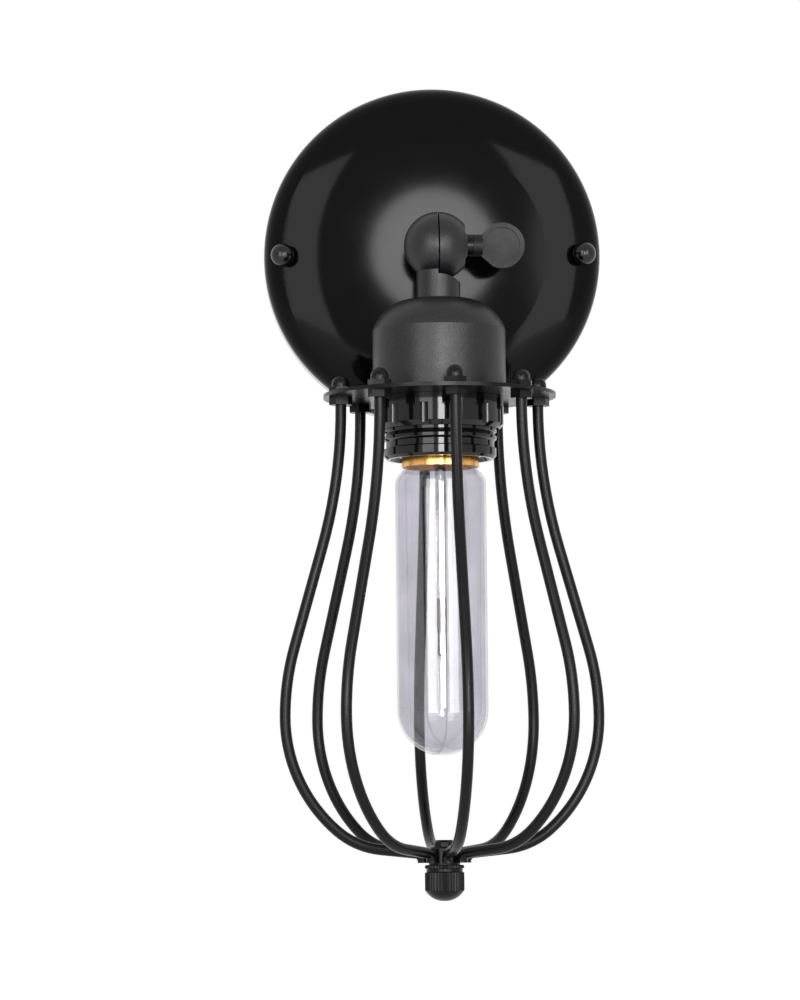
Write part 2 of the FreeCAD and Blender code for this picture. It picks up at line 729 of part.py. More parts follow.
def knuckle():
    """Two hollow half balls, each with a neck that takes a threaded tube."""
    edge = "sqrt(ball_rad^2 - seam_half^2)"
    inner = "sqrt(cavity_rad^2 - seam_half^2)"
    cavity_wide = "sqrt(cavity_rad^2 - cavity_end^2)"
    fixed = turned("fixed_shell", "right", [
        (edge, "seam_half", "ball_rad"), ("sqrt(ball_rad^2 - flat_out^2)", "flat_out"),
        ("boss_wide", "flat_out"), ("boss_narrow", "boss_out"), ("pass_hole", "boss_out"),
        ("pass_hole", "cavity_end"), (cavity_wide, "cavity_end", "-cavity_rad"), (inner, "seam_half")])
    swing = turned("swing_shell", "left", [
        (edge, "seam_half", "ball_rad"), ("0", "ball_rad"), ("0", "tap_end"), ("tap_hole", "tap_end"),
        ("tap_hole", "seam_half"), ("post_rad", "seam_half"),
        ("post_rad", "sqrt(cavity_rad^2 - post_rad^2)", "-cavity_rad"),
        (inner, "seam_half")])
    reach_wall = "(ball_out - plate_depth - seat_gap)"
    for name, shell, frame, far, clear in (
            ("knuckle_fixed_half", fixed, "wall", reach_wall, "left"),
            ("knuckle_swing_half", swing, "head", "(cup_top - seat_gap)", "right")):
        if frame == "wall":
            # the neck runs back from the ball to the plate
            start, root = "(ball_out - %s)" % far, "(%s - neck_root)" % far
            inset = "(%s - tube_inset + 0.3)" % far
            neck = cylinder(name + "_neck", frame, "neck_rad", start, root)
            bore = cylinder(name + "_bore", frame, "tube_seat", start + " - 1", inset + " + 1")
            way = cylinder(name + "_way", frame, "cable_way", start + " + 2",
                    "%s - 2 - cable_way_root" % far)
        else:
            neck = cylinder(name + "_neck", frame, "neck_rad", "neck_root", "%s - neck_root" % far)
            bore = cylinder(name + "_bore", frame, "tube_seat", "tube_inset - 0.3",
                    "%s - tube_inset + 1.3" % far)
            way = cylinder(name + "_way", frame, "cable_way", "cable_way_root", "%s - cable_way_root" % far)
        other_ball = cylinder(name + "_clear", clear, "turn_clear", "-seam_half", "turn_clear + seam_half")
        solid = fused(name + "_solid", [shell, neck])
        cleared = cut(name + "_cleared", solid, other_ball)
        bored = cut(name + "_bored", cleared, bore)
        keep(cut(name, bored, way))


def clamp_screw():
    """Thumb screw with a dished round paddle, and the spring washer under its collar."""
    shank = turned("screw_shank", "right", [
        ("0", "-screw_tip"), ("screw_rad", "-screw_tip"), ("screw_rad", "collar_start"),
        ("collar_rad", "collar_start"), ("collar_rad", "collar_end"), ("0", "collar_end")])
    paddle = new_body("screw_paddle", "right")
    # straight shoulders run from the collar to the paddle's round
    slope_x = "(paddle_rad * 0.92)"
    slope_z = "(paddle_out - paddle_rad * sqrt(1 - 0.92^2))"
    plan = [("-shoulder_half", "collar_end - 0.5"), ("shoulder_half", "collar_end - 0.5"),
            (slope_x, slope_z, "paddle_rad"), ("0", "paddle_out + paddle_rad", "paddle_rad"),
            ("-" + slope_x, slope_z)]
    pad(paddle, outline(new_sketch(paddle, "XZ_Plane"), plan), "paddle_thick", True)
    front = circles(new_sketch(paddle, "XZ_Plane", "paddle_thick / 2"), [("0", "paddle_out", "dish_rad")])
    pocket(paddle, front, "dish_deep")
    back = circles(new_sketch(paddle, "XZ_Plane", "-paddle_thick / 2"), [("0", "paddle_out", "dish_rad")])
    pocket(paddle, back, "dish_deep", True)
    keep(fused("thumb_screw", [shank, paddle]))
    keep(turned("thumb_screw_washer", "right", [
        ("pass_hole", "boss_out + seat_gap / 2"), ("washer_rad", "boss_out + seat_gap / 2"),
        ("washer_rad", "washer_end"), ("pass_hole", "washer_end")]))


# ------------------------------------------------------------------ lampholder

def socket_cup():
    """Domed cup over the lampholder, open at the bottom."""
    keep(turned("socket_cup", "head", [
        ("tube_seat", "cup_top"), ("cup_flat", "cup_top", "cup_dome"), ("cup_rad", CUP_DOME_END),
        ("cup_rad", "cup_end"), ("cup_rad - cup_wall", "cup_end"),
        ("cup_rad - cup_wall", CUP_DOME_IN, "-(cup_dome - cup_wall)"),
        ("cup_flat", "cup_top + cup_wall"), ("tube_seat", "cup_top + cup_wall")]))
    end = "(holder_floor - 0.5)"
    keep(turned("head_tube", "head", [
        ("tube_bore", "tube_inset"), ("tube_rad", "tube_inset"), ("tube_rad", end), ("tube_bore", end)]))
    top = "(cup_top + cup_wall + seat_gap / 2)"
    keep(turned("head_lock_washer", "head", [
        ("tube_seat", top), ("cup_flat - 0.2", top), ("cup_flat - 0.2", top + " + lock_washer"),
        ("tube_seat", top + " + lock_washer")]))
    nut = "(%s + lock_washer)" % top
    keep(cut("head_lock_nut", hexagon("head_nut_hex", "head", "lock_nut_flats", nut, "lock_nut"),
             cylinder("head_nut_bore", "head", "tube_seat", nut + " - 1", "lock_nut + 2")))


def holder_body():
    """Moulded cap, threaded skirt and ceramic insert of the lampholder."""
    keep(turned("holder_cap", "head", [
        ("tube_seat", "holder_top"), ("holder_boss", "holder_top"), ("holder_boss", "holder_shoulder"),
        ("holder_rad", "holder_full"), ("holder_rad", "cup_end"), ("holder_bore", "cup_end"),
        ("holder_bore", "holder_full + 1.2"), ("holder_bore - 2.4", "holder_floor"),
        ("tube_seat", "holder_floor")]))
    keep(turned("holder_insert", "head", [
        ("0", "holder_seat"), ("block_rad", "holder_seat"), ("block_rad", "insert_end"),
        ("0", "insert_end")]))
    turns = int((value("band_start") - value("thread_start")) / value("thread_pitch"))
    wall = [("skirt_bore", "insert_end + seat_gap"), ("skirt_neck", "insert_end + seat_gap"),
            ("skirt_neck", "cup_end"), ("skirt_root", "cup_end"), ("skirt_root", "thread_start")]
    for turn in range(turns):
        start = "thread_start + %d * thread_pitch" % turn
        wall += [("skirt_rad", start + " + thread_pitch * 0.3"),
                ("skirt_rad", start + " + thread_pitch * 0.7"),
                 ("skirt_root", start + " + thread_pitch")]
    wall += [("skirt_root", "band_start"), ("band_rad", "band_start + 0.4"), ("band_rad", "mouth_start"),
             ("mouth_rad", "mouth_end"), ("mouth_bore", "mouth_end"), ("skirt_bore", "mouth_start - 2")]
    if value("thread_start") + turns * value("thread_pitch") > value("band_start") - 0.01:
        wall.remove(("skirt_root", "band_start"))
    keep(turned("holder_skirt", "head", wall))
    keep(turned("screw_shell", "head", [
        ("shell_hole", "insert_end"), ("shell_bore + shell_wall", "insert_end"),
        ("shell_bore + shell_wall", "shell_end"), ("shell_bore", "shell_end"),
        ("shell_bore", "insert_end + shell_wall"), ("shell_hole", "insert_end + shell_wall")]))


def holder_contacts():
    """Springy centre contact, and the two brass terminals with their screws."""
    tongue = new_body("centre_contact", "head")
    top, low = "insert_end", "(bulb_tip_level - run_gap)"
    thick = "tongue_thick"
    strip = [("7.5", top), ("7.5", "%s + %s" % (top, thick)), ("3.2", "%s + %s" % (top, thick)),
             ("1.8", low), ("-2.4", low), ("-2.4", "%s - %s" % (low, thick)),
             ("1.4", "%s - %s" % (low, thick)), ("2.8", top)]
    pad(tongue, outline(new_sketch(tongue, "XZ_Plane"), strip), "tongue_wide", True)
    keep(tongue)

    post = new_body("post", "head")
    half = "(post_side / 2)"
    base = rectangle(new_sketch(post, "XY_Plane", "post_low"), "-" + half, "-" + half, half, half)
    pad(post, base, "holder_seat - post_low")
    pocket(post, circles(new_sketch(post, "XY_Plane", "post_low"), [("0", "0", "post_screw + 0.05")]),
           "lead_level - lead_rad - post_low + 0.6", True)
    off = value("post_off")
    pair = [shifted(off, 0), shifted(-off, 0)]
    keep(copies("holder_terminals", post, "head", pair))
    screw = cylinder("post_screw_master", "head", "post_screw", "post_low + 0.1",
            "lead_level - lead_rad - post_low")
    keep(copies("holder_terminal_screws", screw, "head", pair))


def shade_ring():
    """Moulded ring nut with a plain flange and wide flutes, which clamps the cage's ring."""
    end = "(%s + shade_long)" % RING_END
    start = "(%s + seat_gap / 2)" % RING_END
    body = turned("shade_ring", "head", [
        ("shade_bore", start), ("shade_rad", start), ("shade_rad", end + " - 1.6"),
        ("shade_tip", end), ("shade_bore", end)])
    flute_spot = ("flute_centre * sin(flute_first)", "flute_centre * cos(flute_first)", "flute_rad")
    flute = circles(new_sketch(body, "XY_Plane", "%s + shade_flange" % RING_END), [flute_spot])
    around(body, pocket(body, flute, "shade_long", True), "flute_count")
    keep(body)


# ------------------------------------------------------------------ cage

def wire_angles():
    count = int(value("wire_count"))
    return [value("wire_first") + 360.0 * n / count for n in range(count)]


def cage_ring():
    """Flat ring between the cup and the shade ring, drilled for the wires."""
    body = turned("cage_ring", "head", [
        ("ring_bore", "cup_end"), ("ring_rad", "cup_end"), ("ring_rad", RING_END), ("ring_bore", RING_END)])
    spot = ("wire_circle * sin(wire_first)", "wire_circle * cos(wire_first)", "wire_hole")
    hole = circles(new_sketch(body, "XY_Plane", "cup_end - 1"), [spot])
    around(body, pocket(body, hole, "ring_thick + 2", True), "wire_count")
    keep(body)


def cage_wire(number, angle):
    """One bar of the cage: a round wire along tangent lines and arcs, in its own radial plane."""
    name = "cage_wire_%d" % number
    body = DOC.addObject("PartDesign::Body", name)
    body.Label = name
    section = new_sketch(body, "XY_Plane", "wire_top")
    circles(section, [("wire_circle", "0", "wire_rad")])
    path = new_sketch(body, "XZ_Plane")
    # (kind, size, turn): lines by length, arcs by radius and turn; the turn is towards the axis
    runs = [("line", "wire_bend - wire_top", None), ("arc", "flare_arc", "-flare_angle"),
            ("line", FLANK_RUN, None), ("arc", "flank_arc", "flare_angle"),
            ("arc", "bowl_arc", "bowl_angle"), ("arc", "base_arc", "base_angle"),
            ("line", BASE_RUN, None), ("arc", "tail_arc", "-" + BOTTOM_ANGLE), ("line", "tail_long", None)]
    spot = V(value("wire_circle"), value("wire_top"), 0)
    heading = math.pi / 2
    tie = Sketcher.Constraint
    last = None
    for kind, size, turn in runs:
        ahead = V(math.cos(heading), math.sin(heading), 0)
        if kind == "line":
            nextspot = spot + ahead * value(size)
            geo = path.addGeometry(Part.LineSegment(spot, nextspot), False)
            ends = (1, 2)
            mark = path.addConstraint(tie("Distance", geo, value(size)))
            path.setExpression("Constraints[%d]" % mark, bind(size))
        else:
            bend = math.radians(value(turn))
            left = V(-ahead.y, ahead.x, 0) * (1 if bend > 0 else -1)
            centre = spot + left * value(size)
            begin = math.atan2(spot.y - centre.y, spot.x - centre.x)
            low, high = sorted((begin, begin + bend))
            geo = path.addGeometry(Part.ArcOfCircle(Part.Circle(centre, V(0, 0, 1), value(size)), low,
                    high), False)
            ends = (1, 2) if bend > 0 else (2, 1)
            nextspot = centre + V(math.cos(begin + bend), math.sin(begin + bend), 0) * value(size)
            mark = path.addConstraint(tie("Radius", geo, value(size)))
            path.setExpression("Constraints[%d]" % mark, bind(size))
            mark = path.addConstraint(tie("Angle", geo, abs(bend)))
            path.setExpression("Constraints[%d]" % mark, bind("abs(%s) * 1 deg" % turn))
            heading += bend
        if last is None:
            path.addConstraint(tie("Vertical", geo))
            hold(path, "DistanceX", geo, ends[0], "wire_circle")
            hold(path, "DistanceY", geo, ends[0], "wire_top")
        else:
            path.addConstraint(tie("Tangent", last[0], last[1], geo, ends[0]))
        last = (geo, ends[1])
        spot = nextspot
    pipe = body.newObject("PartDesign::AdditivePipe", name + "_pipe")
    pipe.Profile = section
    pipe.Spine = path
    body.Placement = frame_placement("head").multiply(about_axis(angle))
    return body


def wire_nuts():
    """Hexagon nuts under the ring and cap nuts on top of it, eight of each."""
    spots = [about_axis(a).multiply(shifted(value("wire_circle"), 0)) for a in wire_angles()]
    low = cut("low_nut_solid", hexagon("low_nut_hex", "head", "small_nut_flats", RING_END, "low_nut"),
              cylinder("low_nut_bore", "head", "wire_rad + seat_gap / 2", RING_END + " - 1", "low_nut + 2"))
    keep(copies("cage_hex_nuts", low, "head", spots))
    base = "(cup_end - cap_nut_hex)"
    bore = "(wire_rad + seat_gap / 2)"
    dome = turned("cap_nut_round", "head", [
        ("0", "cup_end - cap_nut_tall", "cap_nut_dome"),
        ("cap_nut_dome", "cup_end - cap_nut_tall + cap_nut_dome"),
        ("cap_nut_dome", base + " + 0.2"), ("0", base + " + 0.2")])
    hexes = hexagon("cap_nut_hexagon", "head", "small_nut_flats", base, "cap_nut_hex")
    hollow = cylinder("cap_nut_bore", "head", bore, "wire_top - 0.2", "cup_end - wire_top + 1")
    cap = cut("cap_nut_solid", fused("cap_nut_blank", [dome, hexes]), hollow)
    keep(copies("cage_cap_nuts", cap, "head", spots))


def cage_base():
    """Hub that gathers the wires, its screw, and the knurled finial under it."""
    keep(turned("cage_hub", "head", [
        ("hub_bore", HUB_TOP), ("hub_rad - 0.5", HUB_TOP), ("hub_rad", HUB_TOP + " + 0.5"),
        ("hub_rad", HUB_END), ("hub_bore", HUB_END)]))
    keep(turned("hub_screw", "head", [
        ("0", HUB_TOP + " - pin_head"), ("pin_head_rad - 0.8", HUB_TOP + " - pin_head"),
        ("pin_head_rad", HUB_TOP + " - pin_head + 0.8"), ("pin_head_rad", HUB_TOP),
        ("pin_rad", HUB_TOP), ("pin_rad", HUB_END + " + pin_reach"), ("0", HUB_END + " + pin_reach")]))
    bead = "(%s + finial_neck)" % HUB_END
    waist = "(%s + bead_tall)" % bead
    body_top = "(%s + waist_tall)" % waist
    body_end = "(%s + knurl_tall)" % body_top
    plain = turned("finial_blank", "head", [
        ("hub_bore", HUB_END), ("hub_rad", HUB_END), ("hub_rad", bead), ("finial_rad - 0.4", bead),
        ("finial_rad", bead + " + 0.4"), ("finial_rad", waist + " - 0.4"), ("finial_waist", waist),
        ("finial_waist", body_top), ("finial_rad", body_top + " + 0.4"),
        ("finial_rad", body_end, "finial_rad + 0.6"),
        ("0", body_end + " + knurl_dome"), ("0", HUB_END + " + pin_reach + 0.2"),
        ("hub_bore", HUB_END + " + pin_reach + 0.2")])
    # a star-shaped prism leaves the knurls standing on the beads and on the body
    count, tip = int(value("knurl_count")), value("finial_rad") + 0.02
    root = value("finial_rad - knurl_cut")
    low = value(HUB_END) - 1
    star = []
    for corner in range(2 * count + 1):
        angle, reach = math.pi * corner / count, root if corner % 2 else tip
        star.append(V(reach * math.cos(angle), reach * math.sin(angle), low))
    prism = Part.Face(Part.makePolygon(star)).extrude(V(0, 0,
            value("finial_neck + bead_tall + waist_tall") + 14))
    prism.Placement = frame_placement("head")
    DOC.recompute()
    keep(feature("finial", plain.Shape.common(prism)))


# ------------------------------------------------------------------ bulb

def bulb_glass():
    """Tubular glass with a narrow neck, a tight shoulder and a round end."""
    inner = "(bulb_rad - glass_wall)"
    low, low_in = "(glass_out + 1)", "(glass_out + 1.6)"
    middle = "(bulb_rad - glass_shoulder)"
    edge = "(%s + sqrt(glass_shoulder^2 - (glass_full - %s)^2))" % (middle, low)
    edge_in = "(%s + sqrt((glass_shoulder - glass_wall)^2 - (glass_full - %s)^2))" % (middle, low_in)
    keep(turned("bulb_glass", "head", [
        ("glass_neck", "glass_start"), ("glass_neck", "glass_out - 3"), (edge, low, "glass_shoulder"),
        ("bulb_rad", "glass_full"), ("bulb_rad", "glass_turn", "bulb_rad"), ("0", "glass_turn + bulb_rad"),
        ("0", "glass_turn + " + inner, "-" + inner), (inner, "glass_turn"),
        (inner, "glass_full", "-(glass_shoulder - glass_wall)"), (edge_in, low_in),
        ("glass_neck - glass_wall", "glass_out - 2.4"), ("glass_neck - glass_wall", "glass_start")]))


def bulb_base():
    """Screw cap with a rolled thread, its insulator and the end contact."""
    foot = "(bulb_tip_level + tip_tall)"
    top = "(%s + insulator_tall)" % foot
    thread = "(%s + 1.9)" % top
    turns = 4
    wave = [("insulator_rad - 0.5", top), ("insulator_rad", top)]
    for turn in range(turns):
        start = "(%s + %d * bulb_thread)" % (thread, turn)
        wave += [("bulb_cap_root", start), ("bulb_cap_rad", start + " + bulb_thread * 0.32"),
                 ("bulb_cap_rad", start + " + bulb_thread * 0.52"),
                 ("bulb_cap_root", start + " + bulb_thread * 0.84")]
    last = "(%s + %d * bulb_thread)" % (thread, turns)
    wave += [("bulb_cap_root", last), ("bulb_cap_rad", last + " + 0.8"), ("bulb_rim", "bulb_cap_end"),
             ("bulb_rim - 0.4", "bulb_cap_end"), ("bulb_cap_bore", "glass_out - 3.2"),
             ("bulb_cap_bore", thread + " + 0.3"), ("insulator_rad - 0.5", top + " + 0.4")]
    keep(turned("bulb_cap", "head", wave))
    keep(turned("bulb_insulator", "head", [
        ("0", foot), ("4.6", foot), ("insulator_rad", top + " - 0.6"), ("insulator_rad", top), ("0", top)]))
    keep(turned("bulb_contact", "head", [
        ("0", "bulb_tip_level"), ("3.2", "bulb_tip_level"), ("4.4", foot), ("0", foot)]))


def bulb_inside():
    """Glass stem with its press, the wires it holds, and the bead that carries the filament."""
    flare = "(glass_neck - glass_wall - 0.15)"
    keep(turned("bulb_stem", "head", [
        ("0.9", "glass_start + 0.4"), (flare, "glass_start + 0.4"), (flare, "glass_start + 1.2"),
        ("stem_rad", "glass_start + 6"), ("stem_rad", "glass_start + 8"), ("press_rad", "glass_start + 11"),
        ("press_rad", "press_end"), ("0", "press_end"), ("0", "glass_start + 11"),
        ("0.9", "glass_start + 10")]))
    keep(turned("bulb_bead", "head", [
        ("0", "bead_start"), ("bead_rad", "bead_start"), ("bead_rad", "bead_end"), ("0", "bead_end")]))
    wire = cylinder("inner_wire_master", "head", "inner_wire", "press_end", "bead_start - press_end")
    off = value("inner_wire_off")
    keep(copies("bulb_lead_wires", wire, "head", [shifted(off, 0), shifted(-off, 0)]))
    low, high = value("bead_end"), value("filament_end")
    loop = rounded([(-off, 0, low), (-off, 0, high), (off, 0, high), (off, 0, low)], 0.9)
    keep(swept("bulb_filament", "head", loop, value("inner_wire")))


# ------------------------------------------------------------------ leads

def leads():
    """Live, neutral and earth leads; live and neutral stop in the knuckle's hollow and start again."""
    rad, out, off = value("lead_rad"), value("ball_out"), value("lead_off")
    level = value("strap_thick + block_tall / 2")
    face = -value("block_down") + value("block_deep") / 2
    stop = value("lead_stop")
    for name, side in (("live_lead", -1), ("neutral_lead", 1)):
        start, apart = side * value("way_pitch"), side * value("lead_apart")
        points = [(start, face - 3.0, level), (start, face + 6.6, level), (off, apart, level + 10),
                  (off, apart, out - stop)]
        keep(swept(name + "_in_plate", "wall", rounded(points, 3.4), rad))
        reach = side * (value("post_off") - value("post_side") / 2 - 0.35)
        points = [(reach, 0, value("lead_level")), (-off, apart, value("lead_level")), (-off, apart, stop)]
        keep(swept(name + "_in_head", "head", rounded(points, 2.6), rad))
    beside = value("earth_hole") + 2.3
    points = [(0, face - 3.0, level), (0, face + 4.0, level), (10, 0, value("strap_thick") + 1.2),
              (10, value("earth_up"), value("strap_thick") + 1.2),
              (beside, value("earth_up"), value("strap_thick") + 1.2)]
    keep(swept("earth_lead", "wall", rounded(points, 3.4), rad))


# ------------------------------------------------------------------ the assembly

wall_bracket()
bracket_studs()
backplate()
plate_tube()
terminal_block()
earth_screw()
knuckle()
clamp_screw()
socket_cup()
holder_body()
holder_contacts()
shade_ring()
cage_ring()
for wire_number, wire_angle in enumerate(wire_angles(), start=1):
    keep(cage_wire(wire_number, wire_angle))
wire_nuts()
cage_base()
bulb_glass()
bulb_base()
bulb_inside()
leads()
DOC.recompute()

for item in DOC.Objects:
    if "Invalid" in item.State or "Error" in item.State:
        raise ValueError(item.Label + " has not been computed: " + str(item.State))
for item in KEPT:
    if item.Shape.isNull() or not item.Shape.isValid():
        raise ValueError(item.Label + " has no valid shape")

os.makedirs("parts", exist_ok=True)
for item in KEPT:
    item.Shape.exportStep("parts/%s.step" % item.Label)
print("%d sub-parts written" % len(KEPT))
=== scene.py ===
"""Looks, light and camera for the cage wall light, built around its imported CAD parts."""

import json
import math

import bpy
from mathutils import Matrix, Vector

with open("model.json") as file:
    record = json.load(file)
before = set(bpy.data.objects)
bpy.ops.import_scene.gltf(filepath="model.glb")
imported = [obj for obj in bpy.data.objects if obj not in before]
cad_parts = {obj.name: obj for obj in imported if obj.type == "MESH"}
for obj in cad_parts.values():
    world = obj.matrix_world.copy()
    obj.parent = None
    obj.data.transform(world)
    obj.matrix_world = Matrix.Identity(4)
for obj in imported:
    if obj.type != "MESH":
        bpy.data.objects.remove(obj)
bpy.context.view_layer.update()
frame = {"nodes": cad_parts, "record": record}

MM = 0.001
UPWARDS = Vector((0.0, 0.0, 1.0))

# ---------------------------------------------------------------- materials

BROAD_TIMES = 12.0  # the roughness changes over patches this many times the fine grain
GLASS_RIPPLE = 0.00012
EDGE_POWER = 5.0  # how late the glass's gloss rises towards its edges
EDGE_GLOSS = 0.6


def new_material(name):
    """An empty node material and its node tree, texture coordinates and output."""
    material = bpy.data.materials.new(name)
    material.use_nodes = True
    tree = material.node_tree
    tree.nodes.clear()
    output = tree.nodes.new("ShaderNodeOutputMaterial")
    place = tree.nodes.new("ShaderNodeTexCoord").outputs["Object"]
    return material, tree, place, output


def noise(tree, place, scale, detail=3.0):
    """Noise whose grains are about 1/scale metres wide."""
    node = tree.nodes.new("ShaderNodeTexNoise")
    node.inputs["Scale"].default_value = scale
    node.inputs["Detail"].default_value = detail
    tree.links.new(place, node.inputs["Vector"])
    return node.outputs["Fac"]


def spread(tree, factor, low, high, start=0.3, stop=0.7):
    """A factor's start-to-stop part, by default the middle of a noise, stretched onto low to high."""
    node = tree.nodes.new("ShaderNodeMapRange")
    node.inputs["From Min"].default_value = start
    node.inputs["From Max"].default_value = stop
    node.inputs["To Min"].default_value = low
    node.inputs["To Max"].default_value = high
    tree.links.new(factor, node.inputs["Value"])
    return node.outputs["Result"]


def blend(tree, factor, first, second):
    """Colour mix of two plain colours by a factor."""
    node = tree.nodes.new("ShaderNodeMix")
    node.data_type = "RGBA"
    node.inputs["A"].default_value = (*first, 1.0)
    node.inputs["B"].default_value = (*second, 1.0)
    tree.links.new(factor, node.inputs["Factor"])
    return node.outputs["Result"]


def bump(tree, height, distance):
    """Normal from a height; distance in metres."""
    node = tree.nodes.new("ShaderNodeBump")
    node.inputs["Strength"].default_value = 1.0
    node.inputs["Distance"].default_value = distance
    tree.links.new(height, node.inputs["Height"])
    return node.outputs["Normal"]


def solid(name, dark, light, rough, grain, relief, metal=0.0, gloss=0.5):
    """Opaque finish: colour, roughness and relief all vary with noise of the given grain."""
    material, tree, place, output = new_material(name)
    shader = tree.nodes.new("ShaderNodeBsdfPrincipled")
    fine = noise(tree, place, grain)
    broad = noise(tree, place, grain / BROAD_TIMES)
    tint = blend(tree, spread(tree, fine, 0.0, 1.0), dark, light)
    tree.links.new(tint, shader.inputs["Base Color"])
    tree.links.new(spread(tree, broad, *rough), shader.inputs["Roughness"])
    tree.links.new(bump(tree, fine, relief), shader.inputs["Normal"])
    shader.inputs["Metallic"].default_value = metal
    shader.inputs["Specular IOR Level"].default_value = gloss
    tree.links.new(shader.outputs["BSDF"], output.inputs["Surface"])
    return material


def glass(name, tint, streak, rough, ripple, face_gloss):
    """Thin glass: tinted see-through under a gloss that grows from face_gloss towards the edges."""
    material, tree, place, output = new_material(name)
    wave = noise(tree, place, ripple, detail=2.0)
    normal = bump(tree, wave, GLASS_RIPPLE)
    through = tree.nodes.new("ShaderNodeBsdfTransparent")
    colour = blend(tree, spread(tree, wave, 0.0, 1.0), tint, streak)
    tree.links.new(colour, through.inputs["Color"])
    sheen = tree.nodes.new("ShaderNodeBsdfGlossy")
    sheen.inputs["Color"].default_value = (1.0, 1.0, 1.0, 1.0)
    tree.links.new(spread(tree, wave, *rough), sheen.inputs["Roughness"])
    tree.links.new(normal, sheen.inputs["Normal"])
    # Facing is the same from both sides, so a ray that leaves the wall isn't turned back
    weight = tree.nodes.new("ShaderNodeLayerWeight")
    weight.inputs["Blend"].default_value = 0.5
    steep = tree.nodes.new("ShaderNodeMath")
    steep.operation = "POWER"
    steep.inputs[1].default_value = EDGE_POWER
    tree.links.new(weight.outputs["Facing"], steep.inputs[0])
    gloss = spread(tree, steep.outputs["Value"], face_gloss, EDGE_GLOSS, start=0.0, stop=1.0)
    both = tree.nodes.new("ShaderNodeMixShader")
    tree.links.new(gloss, both.inputs["Fac"])
    tree.links.new(through.outputs["BSDF"], both.inputs[1])
    tree.links.new(sheen.outputs["BSDF"], both.inputs[2])
    tree.links.new(both.outputs["Shader"], output.inputs["Surface"])
    return material


def earth_stripes(name):
    """Green insulation with yellow stripes."""
    material, tree, place, output = new_material(name)
    shader = tree.nodes.new("ShaderNodeBsdfPrincipled")
    wave = tree.nodes.new("ShaderNodeTexWave")
    wave.inputs["Scale"].default_value = 160.0
    tree.links.new(place, wave.inputs["Vector"])
    tree.links.new(blend(tree, wave.outputs["Fac"], (0.02, 0.16, 0.03), (0.6, 0.5, 0.03)),
                   shader.inputs["Base Color"])
    grain = noise(tree, place, 900.0)
    tree.links.new(spread(tree, grain, 0.35, 0.5), shader.inputs["Roughness"])
    tree.links.new(bump(tree, grain, 0.00004), shader.inputs["Normal"])
    tree.links.new(shader.outputs["BSDF"], output.inputs["Surface"])
    return material


FINISHES = {
    "plate_black": solid("satin_plate", (0.0012, 0.0012, 0.0015), (0.002, 0.002, 0.0024),
                         (0.08, 0.1), 1400.0, 0.000002, gloss=0.08),
    "cage_black": solid("satin_cage", (0.002, 0.002, 0.0025), (0.004, 0.004, 0.0045),
                        (0.24, 0.32), 1300.0, 0.00001, gloss=0.16),
    "textured_black": solid("sand_black", (0.002, 0.002, 0.0025), (0.01, 0.01, 0.012),
                            (0.34, 0.42), 1500.0, 0.00008, gloss=0.36),
    "gloss_black": solid("gloss_nut", (0.002, 0.002, 0.0025), (0.004, 0.004, 0.0045),
                         (0.14, 0.2), 900.0, 0.000006, gloss=0.35),
    "black_moulding": solid("moulding", (0.002, 0.002, 0.0025), (0.004, 0.004, 0.0045),
                            (0.06, 0.1), 800.0, 0.000004, gloss=0.3),
    "zinc_steel": solid("zinc", (0.45, 0.46, 0.48), (0.62, 0.63, 0.66),
                        (0.28, 0.42), 900.0, 0.00002, metal=1.0),
    "brass_parts": solid("brass", (0.66, 0.46, 0.18), (0.8, 0.6, 0.28),
                         (0.2, 0.32), 900.0, 0.000015, metal=1.0),
    "cap_brass": solid("cap_brass", (0.72, 0.38, 0.1), (0.9, 0.52, 0.18),
                       (0.2, 0.3), 900.0, 0.000015, metal=1.0),
    "porcelain": solid("porcelain", (0.74, 0.73, 0.7), (0.84, 0.83, 0.8),
                       (0.16, 0.26), 500.0, 0.00002),
    "block_white": solid("block", (0.7, 0.7, 0.68), (0.8, 0.8, 0.78),
                         (0.34, 0.46), 800.0, 0.00003),
    "cap_insulator": solid("cap_glass", (0.012, 0.008, 0.014), (0.03, 0.02, 0.035),
                           (0.1, 0.2), 500.0, 0.00002),
    "nickel_wire": solid("nickel", (0.42, 0.4, 0.37), (0.6, 0.57, 0.52),
                         (0.22, 0.34), 1500.0, 0.00001, metal=1.0),
    "filament_dark": solid("tungsten", (0.05, 0.045, 0.045), (0.12, 0.1, 0.1),
                           (0.35, 0.5), 2000.0, 0.00001, metal=0.6),
    "bead_ceramic": solid("bead", (0.3, 0.25, 0.24), (0.62, 0.55, 0.5),
                          (0.35, 0.55), 1600.0, 0.0001),
    "lead_brown": solid("brown_lead", (0.09, 0.035, 0.015), (0.14, 0.06, 0.03),
                        (0.35, 0.5), 900.0, 0.00004),
    "lead_blue": solid("blue_lead", (0.015, 0.06, 0.28), (0.03, 0.09, 0.4),
                       (0.35, 0.5), 900.0, 0.00004),
    "lead_earth": earth_stripes("earth_lead_stripes"),
    "bulb_clear": glass("bulb_glass_clear", (0.8, 0.8, 0.82), (0.86, 0.85, 0.88),
                        (0.01, 0.03), 60.0, 0.05),
    "stem_glass": glass("stem_glass_clear", (0.72, 0.72, 0.73), (0.92, 0.92, 0.92),
                        (0.03, 0.12), 420.0, 0.06),
}

slots = {row["node"]: row["material_slot"] for row in frame["record"]["subparts"]}
for node, piece in frame["nodes"].items():
    piece.data.materials.clear()
    piece.data.materials.append(FINISHES[slots[node]])

# the cast thumb screw is duller than the drawn wires
frame["nodes"]["thumb_screw"].data.materials[0] = solid(
    "cast_black", (0.002, 0.002, 0.0025), (0.005, 0.005, 0.0055),
    (0.4, 0.52), 1300.0, 0.00004, gloss=0.2)

# ---------------------------------------------------------------- floor and light

